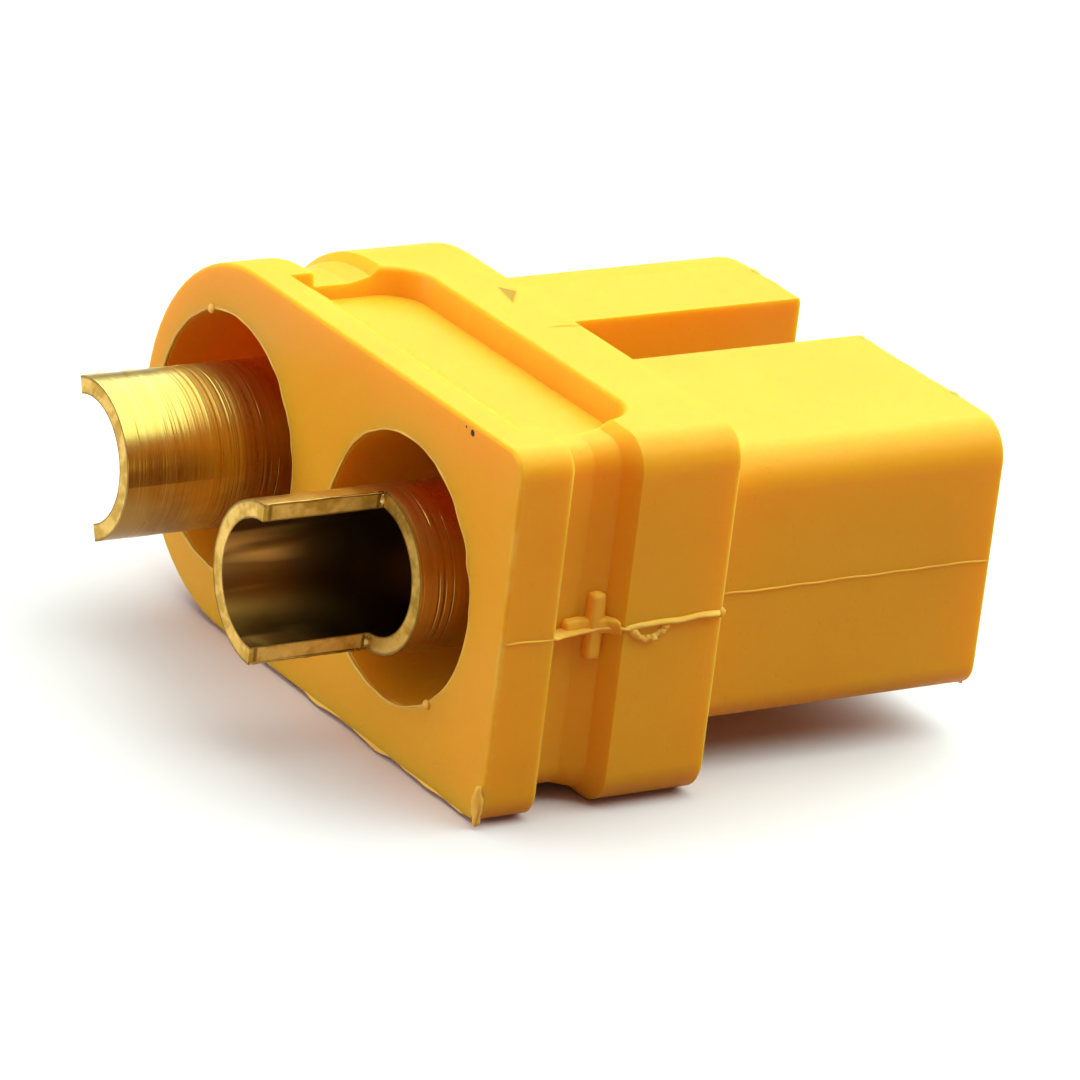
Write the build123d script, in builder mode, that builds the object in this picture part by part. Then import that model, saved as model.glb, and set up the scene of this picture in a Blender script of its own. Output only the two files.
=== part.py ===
from build123d import *
import os

os.makedirs("parts", exist_ok=True)

# X runs across the two contacts from minus to plus, Y is the mating direction and Z is up.
# The origin is halfway between the contact axes, in the flange face that stops the mating half.

# Overall outline, square on the plus side and round on the minus side
contact_pitch = 7.2
body_height = 8.1
plus_side = 7.8
round_side = 7.1
rim_corner_radius = 0.55
flange_corner_radius = 0.75
wire_edge_radius = 0.1
edge_chamfer = 0.06

# Lengths along Y of the rear body, counted from the wire side
rear_body_length = 5.35
rim_length = 1.3
groove_floor_length = 0.9
ramp_foot_length = 0.5
ramp_head_length = 0.25

# Grip groove round the rear body
groove_depth_broad = 0.3
groove_depth_narrow = 0.65
groove_corner_radius = 0.5
ramp_bend_share = 0.35

# Label pocket on each broad face, counted from the wire side along Y
pocket_left = -2.8
pocket_right_margin = 1.4
pocket_rear = 0.7
pocket_front = 3.72
pocket_depth = 0.6
pocket_corner = 1.0
pocket_end_slope = 0.12
pocket_rear_slope = 1.0
pocket_front_slope = 0.14
pocket_edge_radius = 0.12

# Mating towers and the slot that parts them
tower_length = 7.5
tower_inset = 1.05
tower_round_inset = 0.7
tower_upper_corner = 0.85
tower_lower_corner = 0.55
tower_edge_chamfer = 0.05
slot_left = -1.2
slot_right = 1.15

# Hollows for the contacts
wire_recess_radius = 2.85
wire_recess_depth = 3.6
tower_lip = 0.8
lip_hole_radius = 1.95
hole_edge_chamfer = 0.06
contact_clearance = 0.02

# Turned contact
cup_radius = 1.76
cup_bore_radius = 1.38
cup_protrusion = 3.3
cup_ring_length = 0.45
cup_bore_depth = 2.8
cup_bore_cone = 0.6
collar_radius = 2.5
collar_length = 0.7
socket_radius = 2.05
socket_bore_radius = 1.75
contact_web = 0.75
socket_bore_cone = 0.9
socket_mouth_chamfer = 0.12
negative_cup_turn = -21

half_height = body_height / 2
round_end_x = half_height - round_side
pocket_right = plus_side - pocket_right_margin
contact_x = contact_pitch / 2
wire_face = -rear_body_length
groove_rear = wire_face + rim_length
ramp_foot = groove_rear + groove_floor_length
ramp_bend = ramp_foot + ramp_foot_length
flange_rear = ramp_bend + ramp_head_length
recess_floor = wire_face + wire_recess_depth
socket_mouth = tower_length - tower_lip
socket_floor = wire_face + cup_bore_depth + cup_bore_cone + contact_web + socket_bore_cone


def section(y):
    return Plane((0, y, 0), x_dir=(1, 0, 0), z_dir=(0, -1, 0))


def outline(y, half, side, upper, lower, centre=round_end_x):
    # Straight top and bottom, rounded corners on the plus side, half circle on the minus side
    with BuildSketch(section(y)) as drawn:
        with BuildLine():
            Line((centre, half), (side - upper, half))
            RadiusArc((side - upper, half), (side, half - upper), upper)
            Line((side, half - upper), (side, lower - half))
            RadiusArc((side, lower - half), (side - lower, -half), lower)
            Line((side - lower, -half), (centre, -half))
            ThreePointArc((centre, -half), (centre - half, 0), (centre, half))
        make_face()
    return drawn.sketch


def body_outline(y, share=1, full_corner=flange_corner_radius):
    # Share 0 is the groove floor and share 1 is the full outline
    corner = groove_corner_radius + (full_corner - groove_corner_radius) * share
    return outline(
        y,
        half_height - groove_depth_broad * (1 - share),
        plus_side - groove_depth_narrow * (1 - share),
        corner,
        corner,
    )


def pocket_outline(z, inset_end=0, inset_rear=0, inset_front=0):
    # Square towards the wire side, with rounded corners towards the flange
    left, right = pocket_left + inset_end, pocket_right - inset_end
    rear, front = wire_face + pocket_rear + inset_rear, wire_face + pocket_front - inset_front
    with BuildSketch(Plane.XY.offset(z)) as drawn:
        with Locations(((left + right) / 2, (rear + front) / 2)):
            Rectangle(right - left, front - rear)
        fillet(drawn.vertices().group_by(Axis.Y)[-1], pocket_corner - inset_end)
    return drawn.sketch


with BuildPart() as housing:
    # Rear rim, then the groove floor
    extrude(body_outline(wire_face, 1, rim_corner_radius), amount=-rim_length)
    fillet(housing.faces().sort_by(Axis.Y)[0].edges(), wire_edge_radius)
    chamfer(housing.faces().sort_by(Axis.Y)[-1].edges(), edge_chamfer)
    extrude(body_outline(groove_rear, 0), amount=-groove_floor_length)

    # Hollow ramp from the floor up to the flange, then the flange
    loft([body_outline(ramp_foot, 0), body_outline(ramp_bend, ramp_bend_share)], ruled=True)
    loft([body_outline(ramp_bend, ramp_bend_share), body_outline(flange_rear)], ruled=True)
    extrude(body_outline(flange_rear), amount=flange_rear)
    chamfer(housing.faces().sort_by(Axis.Y)[-1].edges(), edge_chamfer)

    # Two towers from one block, parted by the through slot
    tower_half = half_height - tower_inset
    block = outline(
        0,
        tower_half,
        plus_side - tower_inset,
        tower_upper_corner,
        tower_lower_corner,
        round_end_x - half_height + tower_round_inset + tower_half,
    )
    extrude(block, amount=-tower_length)
    chamfer(housing.faces().sort_by(Axis.Y)[-1].edges(), tower_edge_chamfer)
    with Locations(((slot_left + slot_right) / 2, tower_length, 0)):
        Box(slot_right - slot_left, 2 * tower_length, body_height, mode=Mode.SUBTRACT)

    # Label pocket, the same on both broad faces
    for side in (1, -1):
        floor = pocket_outline(
            side * (half_height - pocket_depth),
            pocket_end_slope,
            pocket_rear_slope,
            pocket_front_slope,
        )
        loft([floor, pocket_outline(side * half_height)], ruled=True, mode=Mode.SUBTRACT)
    pocket_edge = wire_face + pocket_front
    fillet(
        housing.edges().filter_by_position(Axis.Y, pocket_edge - 0.01, pocket_edge + 0.01),
        pocket_edge_radius,
    )

    # Hollows for the two contacts: wire recess, tube passage and the hole in the tower's lip
    for x in (-contact_x, contact_x):
        for y_rear, y_front, radius in (
            (wire_face, recess_floor, wire_recess_radius),
            (recess_floor, socket_mouth, socket_radius + contact_clearance),
            (socket_mouth, tower_length, lip_hole_radius),
        ):
            with BuildSketch(section(y_rear)):
                with Locations((x, 0)):
                    Circle(radius)
            extrude(amount=y_rear - y_front, mode=Mode.SUBTRACT)
    for y in (wire_face, tower_length):
        rims = housing.edges().filter_by_position(Axis.Y, y - 0.001, y + 0.001)
        chamfer(rims.filter_by(GeomType.CIRCLE), hole_edge_chamfer)

housing.part.label = "housing"
export_step(housing.part, "parts/housing.step")


def contact_half_section(x):
    # Radius against Y, from the solder cup to the socket's mouth
    with BuildSketch(Plane((x, 0, 0), x_dir=(1, 0, 0), z_dir=(0, 0, 1))) as drawn:
        with BuildLine():
            Polyline(
                (cup_bore_radius, wire_face - cup_protrusion),
                (cup_radius, wire_face - cup_protrusion),
                (cup_radius, recess_floor - collar_length),
                (collar_radius, recess_floor - collar_length),
                (collar_radius, recess_floor),
                (socket_radius, recess_floor),
                (socket_radius, socket_mouth),
                (socket_bore_radius + socket_mouth_chamfer, socket_mouth),
                (socket_bore_radius, socket_mouth - socket_mouth_chamfer),
                (socket_bore_radius, socket_floor),
                (0, socket_floor - socket_bore_cone),
                (0, wire_face + cup_bore_depth + cup_bore_cone),
                (cup_bore_radius, wire_face + cup_bore_depth),
                close=True,
            )
        make_face()
    return drawn.sketch


def contact(side, turn=0):
    # The half of the cup that faces away from the other contact is cut off for soldering.
    # Turn is how many degrees the contact sits round its own axis.
    x = side * contact_x
    cut_length = cup_protrusion - cup_ring_length
    with BuildPart() as turned:
        revolve(contact_half_section(x), axis=Axis((x, 0, 0), (0, 1, 0)))
        with Locations(Location((x, wire_face - cup_ring_length - cut_length, 0), (0, turn, 0))):
            with Locations((side * cup_radius, 0, 0)):
                Box(2 * cup_radius, 2 * cut_length, 3 * cup_radius, mode=Mode.SUBTRACT)
    return turned


positive_contact = contact(1)
positive_contact.part.label = "positive_contact"
export_step(positive_contact.part, "parts/positive_contact.step")

negative_contact = contact(-1, negative_cup_turn)
negative_contact.part.label = "negative_contact"
export_step(negative_contact.part, "parts/negative_contact.step")
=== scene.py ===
# Dresses the socket half of a two contact power connector and stands it in a small white studio
import bpy
import math
from functools import reduce
from mathutils import Matrix, Vector, noise


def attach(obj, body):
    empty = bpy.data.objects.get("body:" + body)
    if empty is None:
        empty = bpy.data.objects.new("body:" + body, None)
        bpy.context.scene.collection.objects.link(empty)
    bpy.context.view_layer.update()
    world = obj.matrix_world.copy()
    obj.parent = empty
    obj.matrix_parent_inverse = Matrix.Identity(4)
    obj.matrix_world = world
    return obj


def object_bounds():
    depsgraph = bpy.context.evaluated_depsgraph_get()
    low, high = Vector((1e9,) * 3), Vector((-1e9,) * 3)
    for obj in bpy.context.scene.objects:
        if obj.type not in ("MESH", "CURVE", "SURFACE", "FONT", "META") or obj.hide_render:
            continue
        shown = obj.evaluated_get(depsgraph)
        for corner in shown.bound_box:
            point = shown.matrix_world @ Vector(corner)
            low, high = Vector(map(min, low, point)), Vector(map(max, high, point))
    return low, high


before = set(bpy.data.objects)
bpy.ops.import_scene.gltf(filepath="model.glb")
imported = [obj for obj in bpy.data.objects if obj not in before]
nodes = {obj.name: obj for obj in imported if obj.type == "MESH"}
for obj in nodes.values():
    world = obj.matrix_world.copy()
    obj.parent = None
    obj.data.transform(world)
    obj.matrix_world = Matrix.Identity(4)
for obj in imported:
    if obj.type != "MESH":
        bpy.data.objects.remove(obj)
cadLow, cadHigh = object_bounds()
mm = 0.001
print("frame loaded:", ", ".join(sorted(nodes)))

# The moulding and its contacts in millimetres, with the lengths that the source has
body = {
    "flangeFront": 0.0,
    "rearLength": 5.35,
    "rimLength": 1.3,
    "grooveFloorLength": 0.9,
    "rampFootLength": 0.5,
    "rampHeadLength": 0.25,
    "rampBendShare": 0.35,
    "grooveDeep": 0.65,
    "grooveShallow": 0.3,
    "towerInset": 1.05,
    "towerRoundInset": 0.7,
    "slotLeft": -1.2,
    "slotRight": 1.15,
    "contactX": 3.6,
    "recessRadius": 2.85,
    "cupRadius": 1.76,
    "cupBore": 1.38,
    "cupRing": 0.45,
    "minusTurn": -21,  # degrees that the minus contact sits round its axis
}


def addFaces(b):
    # The outermost faces come from the frame, and the others stand off them by the lengths above
    b["plusSide"] = cadHigh.x / mm
    b["roundSide"] = cadLow.x / mm
    b["topFace"] = cadHigh.z / mm
    b["towerEnd"] = cadHigh.y / mm
    b["cupEnd"] = cadLow.y / mm
    b["wireFace"] = b["flangeFront"] - b["rearLength"]
    b["cutEnd"] = b["wireFace"] - b["cupRing"]
    b["grooveRear"] = b["wireFace"] + b["rimLength"]
    b["rampFoot"] = b["grooveRear"] + b["grooveFloorLength"]
    b["rampBend"] = b["rampFoot"] + b["rampFootLength"]
    b["flangeRear"] = b["rampBend"] + b["rampHeadLength"]
    b["plusGroove"] = b["plusSide"] - b["grooveDeep"]
    b["plusBend"] = b["plusGroove"] + b["grooveDeep"] * b["rampBendShare"]
    b["plusTower"] = b["plusSide"] - b["towerInset"]
    b["roundGroove"] = b["roundSide"] + b["grooveShallow"]
    b["roundBend"] = b["roundGroove"] - b["grooveShallow"] * b["rampBendShare"]
    b["roundTower"] = b["roundSide"] + b["towerRoundInset"]
    b["towerTop"] = b["topFace"] - b["towerInset"]
    for name, place in b.items():
        b[name] = round(place, 4)  # drops what storing the frame adds to the last digits


addFaces(body)


class Flow:
    # one output of a node, so that shader maths reads as plain sums
    def __init__(self, builder, socket):
        self.builder = builder
        self.socket = socket

    def maths(self, operation, *values):
        return self.builder.add("ShaderNodeMath", {"operation": operation}, dict(enumerate(values)))[0]

    def __add__(self, other):
        return self.maths("ADD", self, other)

    def __radd__(self, other):
        return self.maths("ADD", other, self)

    def __sub__(self, other):
        return self.maths("SUBTRACT", self, other)

    def __rsub__(self, other):
        return self.maths("SUBTRACT", other, self)

    def __mul__(self, other):
        return self.maths("MULTIPLY", self, other)

    def __rmul__(self, other):
        return self.maths("MULTIPLY", other, self)

    def __truediv__(self, other):
        return self.maths("DIVIDE", self, other)

    def __rtruediv__(self, other):
        return self.maths("DIVIDE", other, self)

    def __pow__(self, other):
        return self.maths("POWER", self, other)

    def __rpow__(self, other):
        return self.maths("POWER", other, self)

    def __abs__(self):
        return self.maths("ABSOLUTE", self)

    def least(self, other):
        return self.maths("MINIMUM", self, other)

    def most(self, other):
        return self.maths("MAXIMUM", self, other)

    def ramp(self, low, high):
        # 0 at low and 1 at high, with soft ends
        return self.builder.add(
            "ShaderNodeMapRange",
            {"interpolation_type": "SMOOTHSTEP"},
            {"Value": self, "From Min": low, "From Max": high, "To Min": 0.0, "To Max": 1.0},
        )[0]

    def fall(self, low, high):
        # 1 at low and 0 at high
        return 1 - self.ramp(low, high)

    def near(self, goal, core, edge):
        # 1 within core of the goal, and 0 from edge on
        return abs(self - goal).fall(core, edge)


class Builder:
    # adds the nodes of a material or of the world
    def __init__(self, owner):
        owner.use_nodes = True
        self.owner = owner
        self.tree = owner.node_tree
        self.tree.nodes.clear()

    def add(self, kind, settings=None, sockets=None):
        # gives the node's outputs by number and by name
        node = self.tree.nodes.new(kind)
        for key, value in (settings or {}).items():
            setattr(node, key, value)
        for key, value in (sockets or {}).items():
            if isinstance(value, Flow):
                self.tree.links.new(value.socket, node.inputs[key])
            else:
                node.inputs[key].default_value = value
        found = dict(enumerate(Flow(self, output) for output in node.outputs))
        found.update({output.name: Flow(self, output) for output in reversed(node.outputs)})
        return found

    def blend(self, share, first, second):
        return self.add("ShaderNodeMix", {"data_type": "RGBA"}, {0: share, 6: first, 7: second})[2]


class Finish(Builder):
    # a material, with places on the object counted in millimetres
    def __init__(self, name):
        super().__init__(bpy.data.materials.new(name))
        self.place = self.add("ShaderNodeTexCoord")["Object"]
        parts = self.add("ShaderNodeSeparateXYZ", {}, {"Vector": self.place})
        self.x, self.y, self.z = (parts[name] / mm for name in "XYZ")

    def grain(self, scale, detail, rough, stretch=None, warp=0.0, between=None):
        # noise with scale features across one millimetre, drawn out by stretch and spread between two levels
        where = self.place
        if stretch:
            where = self.add("ShaderNodeVectorMath", {"operation": "MULTIPLY"}, {0: where, 1: stretch})[0]
        cloud = self.add(
            "ShaderNodeTexNoise",
            {},
            {"Vector": where, "Scale": scale / mm, "Detail": detail, "Roughness": rough, "Distortion": warp},
        )[0]
        return cloud.ramp(*between) if between else cloud

    def away(self, point):
        # distance from a point, both in millimetres
        goal = tuple(part * mm for part in point)
        gap = self.add("ShaderNodeVectorMath", {"operation": "DISTANCE"}, {0: self.place, 1: goal})["Value"]
        return gap / mm

    def relief(self, height, depth, strength):
        sockets = {"Height": height, "Distance": depth * mm, "Strength": strength}
        return self.add("ShaderNodeBump", {}, sockets)[0]

    def surface(self, sockets):
        shader = self.add("ShaderNodeBsdfPrincipled", {}, sockets)[0]
        self.add("ShaderNodeOutputMaterial", {}, {"Surface": shader})
        return self.owner


def coat(piece, material):
    piece.data.materials.clear()
    piece.data.materials.append(material)


def beside(face, fade):
    # the pair of places between which a mask fades, given from a face
    return tuple(face + offset for offset in fade)


# The small nick, the crease and the dark specks are faults of this one moulding. The darker colour of the
# nick and the crease is painted shade, standing in for the shade that falls in them; the specks are dark in
# themselves.
# Here and below, a pair named fade or width is where a mask starts to change and where it ends.
topFade = (-0.05, -0.03)
topNickAndPaintedShade = {
    "corners": [(-1.05, -0.57), (-0.72, -0.28), (-0.02, -0.80)],
    "fade": (-0.02, 0.06),
    "colour": (0.36, 0.17, 0.005, 1),
    "share": 0.8,
}
topCreaseAndPaintedShade = {
    "x": 1.5,
    "lean": 0.15,
    "width": (0.01, 0.05),
    "ends": (-0.85, -0.04),
    "fadeIn": 0.3,
    "fadeOut": 0.02,
    "colour": (0.60, 0.24, 0.01, 1),
    "share": 0.6,
}
specks = {
    "places": [((5.87, -5.36, 3.84), 0.085), ((5.62, -5.36, 3.88), 0.035)],
    "core": 0.7,
    "colour": (0.012, 0.006, 0.003, 1),
}


def onTopFace(f):
    return f.z.ramp(*beside(body["topFace"], topFade))


def nickMask(f):
    # inside of a small triangle
    corners = topNickAndPaintedShade["corners"]
    sides = []
    for (ax, ay), (bx, by) in zip(corners, corners[1:] + corners[:1]):
        length = math.hypot(bx - ax, by - ay)
        sides.append((f.x - ax) * ((by - ay) / length) + (f.y - ay) * ((ax - bx) / length))
    return reduce(Flow.least, sides).ramp(*topNickAndPaintedShade["fade"]) * onTopFace(f)


def creaseMask(f):
    c = topCreaseAndPaintedShade
    low, high = c["ends"]
    line = (f.x - f.y * c["lean"]).near(c["x"], *c["width"])
    return line * f.y.ramp(low, low + c["fadeIn"]) * f.y.fall(high - c["fadeOut"], high) * onTopFace(f)


# painted highlights, pale lines along the edges: both recess mouths and, on the plus side, the wire side's
# corner, the rim and the flange
paintedEdgeHighlight = {
    "colour": (0.97, 0.57, 0.12, 1),
    "share": 0.6,
    "wander": {"scale": 1.4, "detail": 3, "rough": 0.6},
    "breaks": {"scale": 1.1, "detail": 3, "rough": 0.6, "between": (0.34, 0.60)},
    "mouthOut": 0.03,
    "mouthWidth": (0.03, 0.08),
    "mouthFade": (0.05, 0.12),
    "mouthWander": 0.05,
    "sideFade": (-0.14, -0.06),
    "lines": [
        ("wireFace", 0.04, (0.03, 0.09)),
        ("grooveRear", -0.03, (0.02, 0.08)),
        ("flangeFront", -0.03, (0.02, 0.08)),
    ],
    "lineWander": 0.04,
}


# where the painted edge highlights lie
def paintedEdgeHighlightMask(f):
    r, b = paintedEdgeHighlight, body
    wander = f.grain(**r["wander"]) - 0.5
    across = abs(f.x) - b["contactX"]
    radius = (across * across + f.z * f.z) ** 0.5 + wander * r["mouthWander"]
    mask = radius.near(b["recessRadius"] + r["mouthOut"], *r["mouthWidth"])
    mask = mask * f.y.fall(*beside(b["wireFace"], r["mouthFade"]))
    onSide = f.x.ramp(*beside(b["plusSide"], r["sideFade"]))
    along = f.y + wander * r["lineWander"]
    for face, offset, width in r["lines"]:
        mask = mask.most(onSide * along.near(b[face] + offset, *width))
    return mask * f.grain(**r["breaks"])


# moulded yellow nylon
nylon = {
    "yellow": (0.93, 0.425, 0.020, 1),
    "deep": (0.88, 0.37, 0.014, 1),
    "roughness": 0.42,
    "softness": 0.7,
    "glow": (1.0, 0.42, 0.06),
    "glowReach": 1.1,
    "gloss": 0.20,
    "cloud": {"scale": 0.26, "detail": 3, "rough": 0.55, "between": (0.35, 0.75)},
    "fine": {"scale": 2.6, "detail": 4, "rough": 0.6},
    "flow": {"scale": 0.9, "detail": 3, "rough": 0.5, "stretch": (1.0, 0.35, 1.0), "warp": 0.8},
    "pores": {"scale": 5.5, "detail": 2, "rough": 0.5, "between": (0.66, 0.74)},
    "cloudShare": 0.5,
    "poreShare": 0.15,
    "fineRoughness": 0.12,
    "height": {"fine": 0.6, "flow": 2.2, "pores": 0.6, "nick": 4, "crease": 6},
    "reliefDepth": 0.009,
    "reliefStrength": 0.9,
}


def nylonFinish():
    n = nylon
    f = Finish("yellowNylon")
    cloud, fine, flow, pores = (f.grain(**n[name]) for name in ("cloud", "fine", "flow", "pores"))
    nick, crease = nickMask(f), creaseMask(f)
    colour = f.blend(cloud * n["cloudShare"] + pores * n["poreShare"], n["yellow"], n["deep"])
    # painted highlight: a paler line along the edges, where they catch the light
    colour = f.blend(paintedEdgeHighlightMask(f) * paintedEdgeHighlight["share"], colour, paintedEdgeHighlight["colour"])
    # painted shade in the nick and along the crease
    colour = f.blend(nick * topNickAndPaintedShade["share"], colour, topNickAndPaintedShade["colour"])
    colour = f.blend(crease * topCreaseAndPaintedShade["share"], colour, topCreaseAndPaintedShade["colour"])
    for place, size in specks["places"]:
        colour = f.blend(f.away(place).fall(size * specks["core"], size), colour, specks["colour"])
    h = n["height"]
    height = fine * h["fine"] + flow * h["flow"] - pores * h["pores"]
    height = height - nick * h["nick"] - crease * h["crease"]
    return f.surface({
        "Base Color": colour,
        "Roughness": n["roughness"] + fine * n["fineRoughness"],
        "Subsurface Weight": n["softness"],
        "Subsurface Radius": n["glow"],
        "Subsurface Scale": n["glowReach"] * mm,
        "Specular IOR Level": n["gloss"],
        "Normal": f.relief(height, n["reliefDepth"], n["reliefStrength"]),
    })


# nylon of the parting line, the burrs and the marks, painted a little paler than the wall: a painted
# highlight for the light that these raised lines catch
highlightedLineNylon = {
    "flash": (0.98, 0.58, 0.13, 1),
    "mark": (0.96, 0.49, 0.06, 1),
    "mottle": {"scale": 2.2, "detail": 3, "rough": 0.6},
    "mottleFade": (0.35, 0.65),
    "mottleShare": 0.4,
    "roughness": 0.36,
    "mottleRoughness": 0.1,
    "fine": {"scale": 7.0, "detail": 2, "rough": 0.5},
    "reliefDepth": 0.006,
    "reliefStrength": 0.8,
}


def highlightedLineFinish(name, shade):
    t = highlightedLineNylon
    f = Finish(name)
    mottle = f.grain(**t["mottle"])
    return f.surface({
        # painted highlight: the raised lines are coloured paler than the wall
        "Base Color": f.blend(mottle.ramp(*t["mottleFade"]) * t["mottleShare"], t[shade], nylon["yellow"]),
        "Roughness": t["roughness"] + mottle * t["mottleRoughness"],
        "Specular IOR Level": nylon["gloss"],
        "Normal": f.relief(f.grain(**t["fine"]), t["reliefDepth"], t["reliefStrength"]),
    })


# Turned brass, cut open with a saw at the solder cup. Each scratch has its place along Y and its width.
brass = {
    "gold": (0.54, 0.34, 0.09, 1),
    "pale": (0.72, 0.52, 0.19, 1),
    # the colour of stains and scratches, also used for painted shade on the lower side of each cup
    "tarnishAndPaintedShade": (0.30, 0.16, 0.04, 1),
    # painted shade and painted reflections: the bore is dark, with brighter bands along it for the bright
    # surroundings it reflects
    "bore": (0.20, 0.10, 0.025, 1),
    "boreReflectionBand": (0.86, 0.55, 0.17, 1),
    "cut": (0.44, 0.25, 0.035, 1),
    "cutBright": (0.75, 0.48, 0.13, 1),
    # painted shade for the dark edges and notches of the saw cuts
    "cutPaintedShade": (0.12, 0.06, 0.015, 1),
    "fineRings": {"scale": 9.0, "detail": 2, "rough": 0.7, "stretch": (0.012, 1.0, 0.012)},
    "broadRings": {"scale": 2.6, "detail": 3, "rough": 0.75, "stretch": (0.04, 1.0, 0.04)},
    "broadFade": (0.35, 0.65),
    "stain": {"scale": 0.5, "detail": 4, "rough": 0.62, "warp": 0.5, "between": (0.50, 0.72)},
    "paintedShadeBelowFade": (-1.3, 0.5),
    "scratches": [(-6.14, 0.035), (-6.02, 0.02), (-5.36, 0.03), (-5.22, 0.05), (-5.02, 0.025)],
    "scratchCore": 0.3,
    "scratchBreaks": {"scale": 0.7, "detail": 2, "rough": 0.5, "between": (0.36, 0.66)},
    "bands": {"scale": 1.3, "detail": 2, "rough": 0.5, "stretch": (1.0, 0.10, 1.0), "between": (0.50, 0.62)},
    "bandFade": (-8.0, -6.4),
    "saw": {"scale": 5.0, "detail": 3, "rough": 0.7, "stretch": (1.0, 0.5, 1.0)},
    "sawFade": (0.45, 0.75),
    "patches": {"scale": 1.5, "detail": 3, "rough": 0.6, "between": (0.42, 0.58)},
    "share": {"pale": 0.35, "stain": 0.35, "scratch": 0.5, "paintedShadeBelow": 0.35, "band": 0.8},
    "cutShare": {"saw": 0.35, "patches": 0.65, "dark": 0.75},
    "height": {"fineRings": 1.3, "saw": 1.2, "bands": 0.3},
    "roughness": {"plain": 0.23, "rings": 0.12, "stain": 0.12, "sawn": 0.22, "bore": 0.06},
    "reliefDepth": 0.014,
    "reliefStrength": 0.7,
}

# Where the masks of a solder cup fade, in millimetres from the face or the radius that each belongs to.
# The two for facing are cosines instead, and boreLength gives places along Y.
cupFades = {
    "facingCut": (0.985, 0.998),
    "facingEnd": (0.95, 0.99),
    "cutFront": (-0.02, 0.0),
    "cutPlane": (0.02, 0.05),
    "endFront": (-0.15, -0.05),
    "boreWall": (0.02, 0.06),
    "boreLength": (-3.2, -2.0),
    "outerPaintedShade": (-0.08, -0.02),
    "innerPaintedShade": (0.01, 0.05),
    "endNotch": (0.15, (0.02, 0.07)),
    "ringNotch": (-0.14, (0.02, 0.06)),
}


def cupMasks(f, side, turn):
    # Side is 1 or -1, and turn is how far the contact sits round its axis, in degrees
    b, c = body, cupFades
    cosTurn, sinTurn = math.cos(math.radians(turn)), math.sin(math.radians(turn))
    across = f.x - side * b["contactX"]
    radius = (across * across + f.z * f.z) ** 0.5
    openWay = across * cosTurn - f.z * sinTurn
    normal = f.add("ShaderNodeNewGeometry")["Normal"]
    facing = f.add("ShaderNodeSeparateXYZ", {}, {"Vector": normal})
    onCut = abs(facing["X"] * cosTurn - facing["Z"] * sinTurn).ramp(*c["facingCut"])
    onCut = onCut * f.y.fall(*beside(b["cutEnd"], c["cutFront"])) * abs(openWay).fall(*c["cutPlane"])
    onEnd = abs(facing["Y"]).ramp(*c["facingEnd"]) * f.y.fall(*beside(b["wireFace"], c["endFront"]))
    sawn = (onCut + onEnd).least(1.0)
    inBore = radius.fall(*beside(b["cupBore"], c["boreWall"])) * f.y.fall(*c["boreLength"]) * (1 - sawn)
    # painted shade: dark lines along the outer and inner edges of each saw cut and at the notches by its
    # ends
    paintedShadeOnCut = radius.ramp(*beside(b["cupRadius"], c["outerPaintedShade"]))
    paintedShadeOnCut = paintedShadeOnCut.most(radius.fall(*beside(b["cupBore"], c["innerPaintedShade"])))
    for face, (offset, width) in (("cupEnd", c["endNotch"]), ("cutEnd", c["ringNotch"])):
        paintedShadeOnCut = paintedShadeOnCut.most(onCut * f.y.near(b[face] + offset, *width))
    return sawn, inBore, paintedShadeOnCut


def brassFinish(name, side, turn):
    m = brass
    f = Finish(name)
    sawn, inBore, paintedShadeOnCut = cupMasks(f, side, turn)
    outside = (1 - sawn) * (1 - inBore)
    fineRings, broadRings, stain = (f.grain(**m[key]) for key in ("fineRings", "broadRings", "stain"))
    saw, patches = f.grain(**m["saw"]), f.grain(**m["patches"])
    lines = [f.y.near(y, width * m["scratchCore"], width) for y, width in m["scratches"]]
    scratches = reduce(Flow.most, lines) * f.grain(**m["scratchBreaks"]) * outside
    # bands along the bore: painted reflection in the colour, and a slight relief
    bands = f.grain(**m["bands"]) * f.y.fall(*m["bandFade"])
    # painted shade: each cup darker towards its bottom, standing in for the darker floor and housing that
    # its lower side reflects
    paintedShadeBelow = f.z.fall(*m["paintedShadeBelowFade"])

    s, c = m["share"], m["cutShare"]
    colour = f.blend(broadRings.ramp(*m["broadFade"]) * s["pale"], m["gold"], m["pale"])
    # real stains and scratches, with the painted shade below
    wearAndPaintedShade = stain * s["stain"] + scratches * s["scratch"] + paintedShadeBelow * s["paintedShadeBelow"]
    colour = f.blend(wearAndPaintedShade.least(1.0), colour, m["tarnishAndPaintedShade"])
    # painted shade inside the bore, with painted reflections in bands along it
    colour = f.blend(inBore, colour, f.blend(bands * s["band"], m["bore"], m["boreReflectionBand"]))
    bright = saw.ramp(*m["sawFade"]) * c["saw"] + patches * c["patches"]
    # painted shade along the edges of the cut and at its notches
    cutColour = f.blend(paintedShadeOnCut * c["dark"], f.blend(bright, m["cut"], m["cutBright"]), m["cutPaintedShade"])

    h, r = m["height"], m["roughness"]
    height = (fineRings * h["fineRings"] + broadRings - scratches) * outside
    height = height + saw * h["saw"] * sawn + inBore * bands * h["bands"]
    roughness = r["plain"] + broadRings * r["rings"] + stain * r["stain"]
    return f.surface({
        "Base Color": f.blend(sawn, colour, cutColour),
        "Metallic": 1.0,
        "Roughness": roughness + sawn * r["sawn"] + inBore * r["bore"],
        "Normal": f.relief(height, m["reliefDepth"], m["reliefStrength"]),
    })


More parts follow.
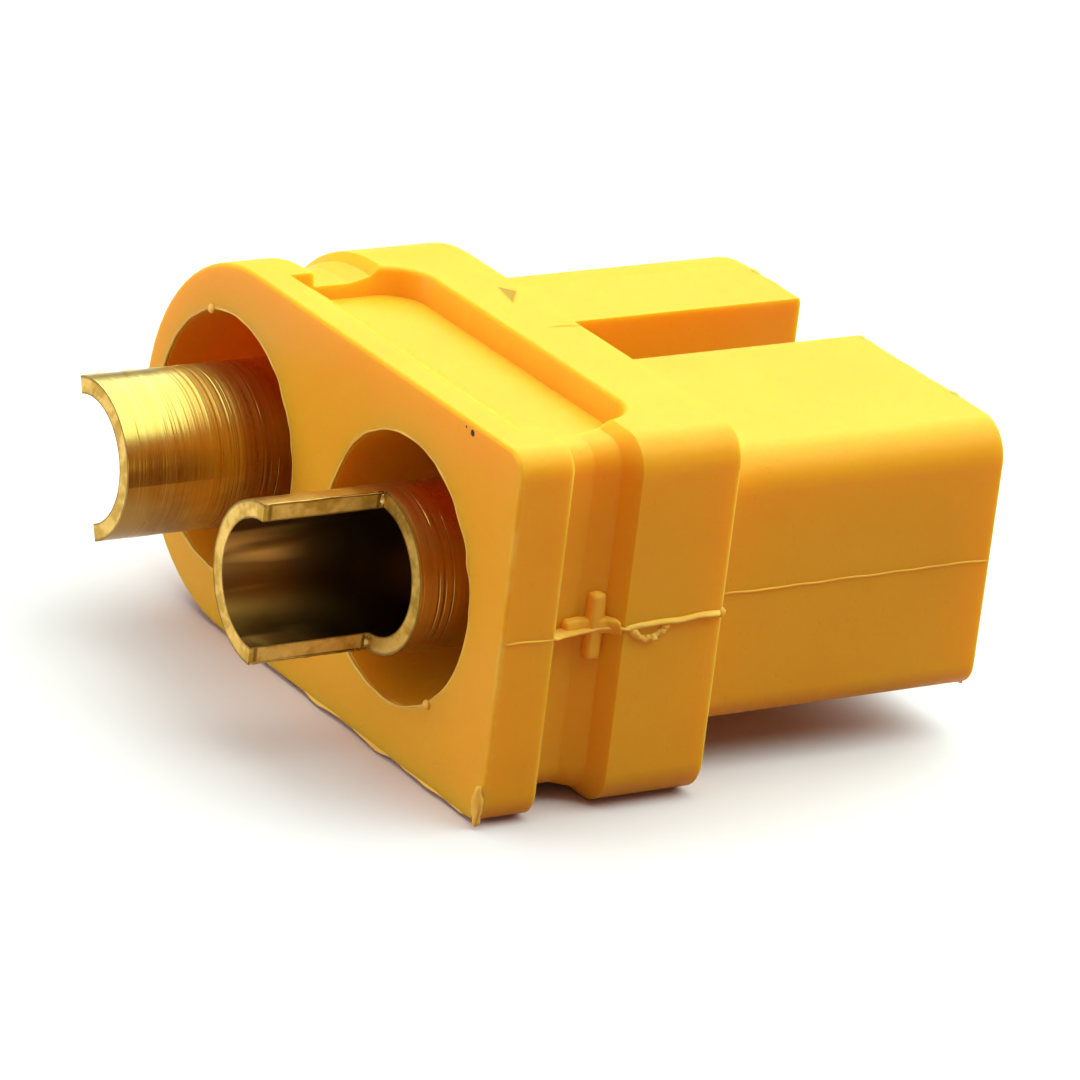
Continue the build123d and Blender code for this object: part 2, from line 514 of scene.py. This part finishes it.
nylonMaterial = nylonFinish()
flashMaterial = highlightedLineFinish("yellowNylonFlash", "flash")
markMaterial = highlightedLineFinish("yellowNylonMark", "mark")
plusBrass = brassFinish("turnedBrassPlus", 1, 0)
minusBrass = brassFinish("turnedBrassMinus", -1, body["minusTurn"])
coat(nodes["housing"], nylonMaterial)
coat(nodes["positive_contact"], plusBrass)
coat(nodes["negative_contact"], minusBrass)
print("materials laid on the solids")


def newPiece(name, verts, faces, material):
    mesh = bpy.data.meshes.new(name)
    mesh.from_pydata([Vector(v) * mm for v in verts], [], faces)
    mesh.polygons.foreach_set("use_smooth", [True] * len(mesh.polygons))
    mesh.update()
    piece = bpy.data.objects.new(name, mesh)
    bpy.context.scene.collection.objects.link(piece)
    coat(piece, material)
    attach(piece, "root")


def evenly(points, step):
    # the same path with a point every step
    path = [Vector(points[0])]
    for a, b in zip(points, points[1:]):
        a, b = Vector(a), Vector(b)
        count = max(1, round((b - a).length / step))
        path += [a.lerp(b, i / count) for i in range(1, count + 1)]
    return path


def sideways(path, i, out, closed=False):
    # the direction across a path and across the way out of the wall
    count = len(path)
    before = path[i - 1] if i or closed else path[i]
    after = path[(i + 1) % count] if i + 1 < count or closed else path[i]
    return (after - before).normalized().cross(out).normalized()


def tubeFaces(rows, size, closed=False):
    # faces between rows of points, capped at both ends unless the last row meets the first
    faces = []
    for i in range(rows if closed else rows - 1):
        j = (i + 1) % rows
        for k in range(size):
            m = (k + 1) % size
            faces.append((i * size + k, i * size + m, j * size + m, j * size + k))
    if not closed:
        faces.append(tuple(size - 1 - k for k in range(size)))
        faces.append(tuple((rows - 1) * size + k for k in range(size)))
    return faces


# A ridge of flash, uneven in height as real flash is. Its section counts half widths across and heights up.
ridgeForm = {
    "section": [(-1.0, 0.0), (-0.62, 0.45), (-0.22, 0.93), (0.22, 1.0), (0.62, 0.5), (1.0, 0.0)],
    "usualRise": 0.62,
    "leastRise": 0.12,
    "drift": 0.5,
    "driftWave": 1.3,
    "endPoints": 2,
    "endRise": 0.05,
}


def ridge(name, path, outward, settings, material, seed=0.0, closed=False):
    form = ridgeForm
    out = Vector(outward).normalized()
    verts = []
    for i, point in enumerate(path):
        side = sideways(path, i, out, closed)
        wave = noise.noise(point * settings["wave"] + Vector((seed, 0, 0)))
        rise = settings["height"] * max(form["leastRise"], form["usualRise"] + settings["uneven"] * wave)
        drift = noise.noise(point * form["driftWave"] + Vector((0, seed, 3)))
        drift *= settings["width"] * form["drift"]
        if not closed:
            fade = min(1.0, i / form["endPoints"], (len(path) - 1 - i) / form["endPoints"])
            rise *= max(form["endRise"], fade)
        for across, up in form["section"]:
            lift = rise * up if up else -settings["foot"]
            verts.append(point + side * (across * settings["width"] / 2 + drift) + out * lift)
    newPiece(name, verts, tubeFaces(len(path), len(form["section"]), closed), material)


# The mould's parting line, raised a little round the middle. Foot is how deep a ridge reaches into the wall.
parting = {
    "line": {"width": 0.09, "height": 0.05, "foot": 0.02, "uneven": 0.9, "wave": 0.9, "step": 0.06},
    "faint": {"width": 0.08, "height": 0.035, "foot": 0.02, "uneven": 1.0, "wave": 0.9, "step": 0.06},
    "flange": {"width": 0.17, "height": 0.15, "foot": 0.05, "uneven": 0.5, "wave": 1.6, "step": 0.05},
    "fin": {"width": 0.10, "height": 0.07, "foot": 0.30, "uneven": 0.6, "wave": 1.6, "step": 0.05},
    "round": {"width": 0.12, "height": 0.06, "foot": 0.02, "uneven": 0.6, "wave": 1.4, "step": 0.05},
    "seedStep": 7.3,
}


def makePartingLines():
    b = body
    rimEnds = (b["wireFace"] + 0.08, b["grooveRear"] - 0.04)
    towerEnds = (b["flangeFront"] + 0.02, b["towerEnd"] - 0.06)
    slotEnds = (b["flangeFront"] + 0.02, b["towerEnd"] - 0.02)
    fin = [
        (b["plusSide"] - 0.02, b["grooveRear"] - 0.04, -0.05),
        (b["plusGroove"] + 0.38, b["grooveRear"] + 0.35, -0.12),
        (b["plusGroove"] + 0.27, b["rampFoot"] - 0.1, -0.13),
        (b["plusGroove"] + 0.32, b["rampFoot"] + 0.3, -0.09),
        (b["plusSide"] - 0.18, b["flangeRear"] - 0.2, -0.04),
        (b["plusSide"] + 0.03, b["flangeRear"] + 0.02, -0.01),
        (b["plusSide"] + 0.02, b["flangeRear"] + 0.25, 0.0),
    ]
    flange = [
        (b["plusSide"], b["flangeRear"] + 0.02, 0.0),
        (b["plusSide"], b["flangeRear"] + 0.9, 0.05),
        (b["plusSide"], b["flangeFront"] - 0.06, 0.09),
    ]
    roundFlange = [
        (b["roundGroove"], b["grooveRear"] + 0.02, 0.0),
        (b["roundGroove"], b["rampFoot"], 0.0),
        (b["roundBend"], b["rampBend"], 0.0),
        (b["roundSide"], b["flangeRear"], 0.0),
        (b["roundSide"], b["flangeFront"] - 0.08, 0.0),
    ]
    lines = {
        "partingRim": ([(b["plusSide"], y, -0.03) for y in rimEnds], 1, "faint"),
        "partingFin": (fin, 1, "fin"),
        "partingFlange": (flange, 1, "flange"),
        "partingTower": ([(b["plusTower"], y, z) for y, z in zip(towerEnds, (-0.03, -0.02))], 1, "faint"),
        "partingRoundRim": ([(b["roundSide"], y, 0.0) for y in rimEnds], -1, "line"),
        "partingRoundFlange": (roundFlange, -1, "round"),
        "partingRoundTower": ([(b["roundTower"], y, 0.0) for y in towerEnds], -1, "line"),
        "partingSlotLeft": ([(b["slotLeft"], y, 0.0) for y in slotEnds], 1, "line"),
        "partingSlotRight": ([(b["slotRight"], y, 0.0) for y in slotEnds], -1, "line"),
    }
    for number, (name, (points, side, kind)) in enumerate(lines.items()):
        settings = parting[kind]
        material = markMaterial if kind == "faint" else flashMaterial
        path = evenly(points, settings["step"])
        ridge(name, path, (side, 0, 0), settings, material, seed=number * parting["seedStep"])


# thin burrs round the recess mouths, along the tower tips and along the foot of the wire side
rimFlash = {"width": 0.07, "height": 0.04, "foot": 0.02, "uneven": 1.2, "wave": 2.2, "points": 220}
tipFlash = {"width": 0.06, "height": 0.03, "foot": 0.02, "uneven": 1.3, "wave": 1.6, "step": 0.08}
footFlash = {"width": 0.11, "height": 0.08, "foot": 0.03, "uneven": 1.3, "wave": 1.1, "step": 0.08}
burrEnds = {"tipBurrPlus": (1.3, 5.8), "tipBurrMinus": (-3.3, -1.3), "footBurr": (-2.9, 7.2)}


def circle(centre, radius, count):
    x, y, z = centre
    turns = [2 * math.pi * i / count for i in range(count)]
    return [Vector((x + radius * math.cos(turn), y, z + radius * math.sin(turn))) for turn in turns]


def makeBurrs():
    b = body
    for name, side in (("Plus", 1), ("Minus", -1)):
        centre = (side * b["contactX"], b["wireFace"] + 0.02, 0)
        rim = circle(centre, b["recessRadius"] + 0.03, rimFlash["points"])
        ridge("recessBurr" + name, rim, (0, -1, 0), rimFlash, flashMaterial, seed=side, closed=True)
    tip = (b["towerEnd"] - 0.03, b["towerTop"] - 0.03)
    foot = (b["wireFace"] + 0.05, 0.06 - b["topFace"])
    edges = {
        "tipBurrPlus": (tip, (0, 0.55, 0.83), tipFlash, 40),
        "tipBurrMinus": (tip, (0, 0.55, 0.83), tipFlash, 41),
        "footBurr": (foot, (0, -1, -0.25), footFlash, 52),
    }
    for name, (place, outward, settings, seed) in edges.items():
        path = evenly([(x, *place) for x in burrEnds[name]], settings["step"])
        ridge(name, path, outward, settings, flashMaterial, seed=seed)


# Raised polarity marks in the grip groove: closed bars with rounded ends, whose feet reach below the wall
polarityMarks = {
    "plusY": -2.84,
    "plusZ": -0.06,
    "plusReach": 0.75,
    "plusRear": -3.52,
    "minusY": -3.0,
    "minusReach": 0.72,
    "width": 0.34,
    "height": 0.19,
    "round": 0.10,
    "step": 0.05,
    "section": [
        (-1.0, -0.9), (-1.0, 0.45), (-0.86, 0.84), (-0.55, 1.0),
        (0.55, 1.0), (0.86, 0.84), (1.0, 0.45), (1.0, -0.9),
    ],
    "endShare": 0.25,
    "uneven": 0.10,
    "wave": 2.1,
}


def bar(name, points, outward, seed):
    settings = polarityMarks
    path = evenly(points, settings["step"])
    out = Vector(outward).normalized()
    length = sum((after - before).length for before, after in zip(path, path[1:]))
    travelled = 0.0
    verts = []
    for i, point in enumerate(path):
        side = sideways(path, i, out)
        travelled += (point - path[max(0, i - 1)]).length
        inset = max(0.0, 1 - min(travelled, length - travelled) / settings["round"])
        taper = math.sqrt(max(0.0, 1 - inset * inset)) * (1 - settings["endShare"]) + settings["endShare"]
        swell = 1 + settings["uneven"] * noise.noise(point * settings["wave"] + Vector((seed, 0, 0)))
        for across, up in settings["section"]:
            lift = settings["height"] * swell * up
            if up > 0:
                lift *= taper
            verts.append(point + side * (across * settings["width"] / 2 * taper * swell) + out * lift)
    newPiece(name, verts, tubeFaces(len(path), len(settings["section"])), markMaterial)


def makePolarityMarks():
    m, b = polarityMarks, body
    y, z, reach = m["plusY"], m["plusZ"], m["plusReach"]
    climb = (b["plusBend"] - b["plusGroove"]) / (b["rampBend"] - b["rampFoot"])
    wall = b["plusGroove"] + climb * (y - b["rampFoot"])
    bar("plusUpright", [(wall, y, z - reach), (wall, y, z + reach)], (1, 0, 0), 61)
    level = [
        (b["plusGroove"], m["plusRear"], z - 0.03),
        (b["plusGroove"], b["rampFoot"], z),
        (b["plusBend"], b["rampBend"], z + 0.04),
        (b["plusSide"] - 0.08, b["flangeRear"] - 0.06, z + 0.08),
    ]
    bar("plusLevel", level, (1, -0.15, 0), 62)
    y, reach = m["minusY"], m["minusReach"]
    bar("minusMark", [(b["roundGroove"], y, -reach), (b["roundGroove"], y, reach)], (-1, 0, 0), 63)


# small lumps left by the mould
lumps = {
    "cornerNub": {"place": (7.66, -5.38, -3.52), "size": (0.15, 0.12, 0.36), "seed": 4},
    "cornerTail": {"place": (7.68, -5.38, -3.90), "size": (0.07, 0.09, 0.16), "seed": 5},
    "tipNub": {"place": (4.75, 7.46, 2.98), "size": (0.16, 0.05, 0.05), "seed": 6},
    "tipCorner": {"place": (1.28, 7.44, 2.96), "size": (0.12, 0.07, 0.07), "seed": 10},
    "farTipNub": {"place": (-2.95, 7.44, 2.97), "size": (0.20, 0.07, 0.06), "seed": 11},
    "footNub": {"place": (6.15, 7.44, -2.96), "size": (0.30, 0.07, 0.07), "seed": 7},
    "flangeTag": {"place": (7.78, -0.05, 0.09), "size": (0.08, 0.09, 0.10), "seed": 12},
    "mouthNubA": {"place": (-4.62, -5.37, 2.70), "size": (0.12, 0.05, 0.10), "seed": 13},
    "mouthNubB": {"place": (5.35, -5.37, -2.32), "size": (0.12, 0.05, 0.10), "seed": 14},
}
lumpForm = {"rows": 10, "columns": 16, "uneven": 0.32, "wave": 1.6, "seedStep": 5.1}

# the curl of flash that hangs under the parting line, as a row of beads
curl = {
    "beads": 13,
    "start": -2.25,
    "step": 0.07,
    "high": -0.05,
    "drop": 0.24,
    "shake": 0.07,
    "shakeNoise": (1.7, 4.2),
    "size": 0.095,
    "leastSize": 0.8,
    "moreSize": 0.7,
    "sizeNoise": (2.3, 9.1),
    "flat": (0.8, 1.0, 0.85),
    "firstSeed": 20,
}


def lump(name, place, size, seed, material):
    form = lumpForm
    rows, columns = form["rows"], form["columns"]
    place = Vector(place)
    start = Vector((seed * form["seedStep"], 0, 0))
    verts = [place - Vector((0, 0, size[2]))]
    for r in range(1, rows):
        polar = math.pi * r / rows
        wide = math.sin(polar)
        for c in range(columns):
            turn = 2 * math.pi * c / columns
            way = Vector((wide * math.cos(turn), wide * math.sin(turn), -math.cos(polar)))
            swell = 1 + form["uneven"] * noise.noise(way * form["wave"] + start)
            verts.append(place + Vector((way.x * size[0], way.y * size[1], way.z * size[2])) * swell)
    verts.append(place + Vector((0, 0, size[2])))
    last = 1 + (rows - 2) * columns
    faces = []
    for c in range(columns):
        d = (c + 1) % columns
        faces.append((0, 1 + d, 1 + c))
        faces.append((last + c, last + d, len(verts) - 1))
        for r in range(rows - 2):
            a = 1 + r * columns
            faces.append((a + c, a + d, a + columns + d, a + columns + c))
    newPiece(name, verts, faces, material)


def makeLumps():
    for name, settings in lumps.items():
        lump(name, settings["place"], settings["size"], settings["seed"], flashMaterial)
    c = curl
    shakeStep, shakeStart = c["shakeNoise"]
    sizeStep, sizeStart = c["sizeNoise"]
    for i in range(c["beads"]):
        sag = c["drop"] * math.sin(math.pi * i / (c["beads"] - 1))
        shake = c["shake"] * noise.noise(Vector((i * shakeStep, shakeStart, 0)))
        place = (body["plusSide"], c["start"] + i * c["step"], c["high"] - sag - shake)
        more = c["moreSize"] * abs(noise.noise(Vector((i * sizeStep, 0, sizeStart))))
        size = tuple(c["size"] * (c["leastSize"] + more) * flat for flat in c["flat"])
        lump(f"curl{i}", place, size, c["firstSeed"] + i, flashMaterial)


# ragged saw burrs along the cut edges of each solder cup, and a nub where each cut ends
cupBurr = {
    "width": 0.05,
    "height": 0.035,
    "foot": 0.02,
    "uneven": 1.4,
    "wave": 3.0,
    "step": 0.05,
    "inset": 0.02,
    "endGap": 0.03,
    "lean": (0.8, 0.6),
}
cupNub = {"size": (0.05, 0.10, 0.13), "out": 0.02}


def makeCupBurrs():
    b = body
    edge = b["cupRadius"] - cupBurr["inset"]
    middle = (b["cupBore"] + b["cupRadius"]) / 2
    cutStart, cutStop = b["cupEnd"] + cupBurr["endGap"], b["cutEnd"] - cupBurr["endGap"]
    leanOut, leanUp = cupBurr["lean"]
    for name, side, turn, material in (("Plus", 1, 0, plusBrass), ("Minus", -1, b["minusTurn"], minusBrass)):
        spin = Matrix.Rotation(math.radians(turn), 3, "Y")
        hub = Vector((side * b["contactX"], 0, 0))
        for part, sign in (("Top", 1), ("Foot", -1)):
            arm = hub + spin @ Vector((0, 0, sign * edge))
            ends = [arm + Vector((0, y, 0)) for y in (cutStart, cutStop)]
            outward = spin @ Vector((side * leanOut, 0, sign * leanUp))
            path, seed = evenly(ends, cupBurr["step"]), sign * edge + side
            ridge("cupBurr" + part + name, path, outward, cupBurr, material, seed)
        for part, sign in (("Top", 1), ("Foot", -1)):
            root = spin @ Vector((side * cupNub["out"], 0, sign * middle))
            place = hub + root + Vector((0, cutStop, 0))
            lump("cupNub" + part + name, place, cupNub["size"], sign * middle + side, material)


makePartingLines()
makeBurrs()
makePolarityMarks()
makeLumps()
makeCupBurrs()
print("flash, marks and burrs made")

# Studio floor and world, with sizes in metres. The floor lights the object in another colour than is seen.
studio = {
    "floorSeen": (0.87, 0.745, 0.93, 1),
    "floorBounce": (0.31, 0.165, 0.10, 1),
    "floorRoughness": 0.9,
    "floorGloss": 0.1,
    "floorSize": 3.0,
    "standOff": 0.00006,
    "zenith": (0.28, 0.23, 0.15, 1),
    "horizon": (0.32, 0.185, 0.11, 1),
    "worldStrength": 1.0,
}


def makeFloor():
    half = studio["floorSize"] / 2
    mesh = bpy.data.meshes.new("floor")
    corners = [(-half, -half, 0), (half, -half, 0), (half, half, 0), (-half, half, 0)]
    mesh.from_pydata(corners, [], [(0, 1, 2, 3)])
    floor = bpy.data.objects.new("floor", mesh)
    floor.location.z = cadLow.z - studio["standOff"]
    bpy.context.scene.collection.objects.link(floor)
    f = Finish("paperFloor")
    ray = f.add("ShaderNodeLightPath")
    seen = ray["Is Camera Ray"].most(ray["Is Glossy Ray"])
    material = f.surface({
        "Base Color": f.blend(seen, studio["floorBounce"], studio["floorSeen"]),
        "Roughness": studio["floorRoughness"],
        "Specular IOR Level": studio["floorGloss"],
    })
    coat(floor, material)


def makeWorld():
    world = bpy.data.worlds.new("studioWorld")
    bpy.context.scene.world = world
    w = Builder(world)
    way = w.add("ShaderNodeTexCoord")["Generated"]
    height = w.add("ShaderNodeSeparateXYZ", {}, {"Vector": way})["Z"]
    colour = w.blend(height, studio["horizon"], studio["zenith"])
    back = w.add("ShaderNodeBackground", {}, {"Color": colour, "Strength": studio["worldStrength"]})[0]
    w.add("ShaderNodeOutputWorld", {}, {"Surface": back})


# lamps: places and sizes in metres, power in watts
lamps = {
    "card": {"place": (-0.20, -0.40, 0.065), "size": 0.22, "power": 1.08, "colour": (0.90, 1.0, 0.92)},
    "top": {"place": (-0.065, 0.18, 0.38), "size": 1.00, "power": 8.00, "colour": (0.72, 1.0, 0.78)},
}


def makeLamp(name, settings):
    light = bpy.data.lights.new(name, "AREA")
    light.shape = "DISK"
    light.size = settings["size"]
    light.energy = settings["power"]
    light.color = settings["colour"]
    lamp = bpy.data.objects.new(name, light)
    lamp.location = settings["place"]
    lamp.rotation_euler = (-Vector(settings["place"])).to_track_quat("-Z", "Y").to_euler()
    bpy.context.scene.collection.objects.link(lamp)


makeFloor()
makeWorld()
for lampName, lampSettings in lamps.items():
    makeLamp(lampName, lampSettings)

# Camera at the photograph's viewing angle, zoomed to the one connector. Its place is in millimetres.
camera = {
    "place": (117.69, -79.72, 54.02),
    "right": (0.52354, 0.84460, 0.11205),
    "up": (-0.36535, 0.10374, 0.92507),
    "focalPixels": 3755.6,
    "zoom": 1.9,
    "imagePixels": 1080,
    "sensor": 36.0,
    "nearest": 0.001,
}


def makeCamera():
    data = bpy.data.cameras.new("camera")
    data.sensor_width = camera["sensor"]
    data.lens = camera["focalPixels"] * camera["zoom"] / camera["imagePixels"] * camera["sensor"]
    data.clip_start = camera["nearest"]
    eye = bpy.data.objects.new("camera", data)
    right, up = Vector(camera["right"]), Vector(camera["up"])
    back = right.cross(up)
    eye.matrix_world = Matrix((right, up, back)).transposed().to_4x4()
    eye.location = Vector(camera["place"]) * mm
    bpy.context.scene.collection.objects.link(eye)
    bpy.context.scene.camera = eye


makeCamera()
bpy.context.scene.view_settings.view_transform = "Standard"
print("studio and camera ready")
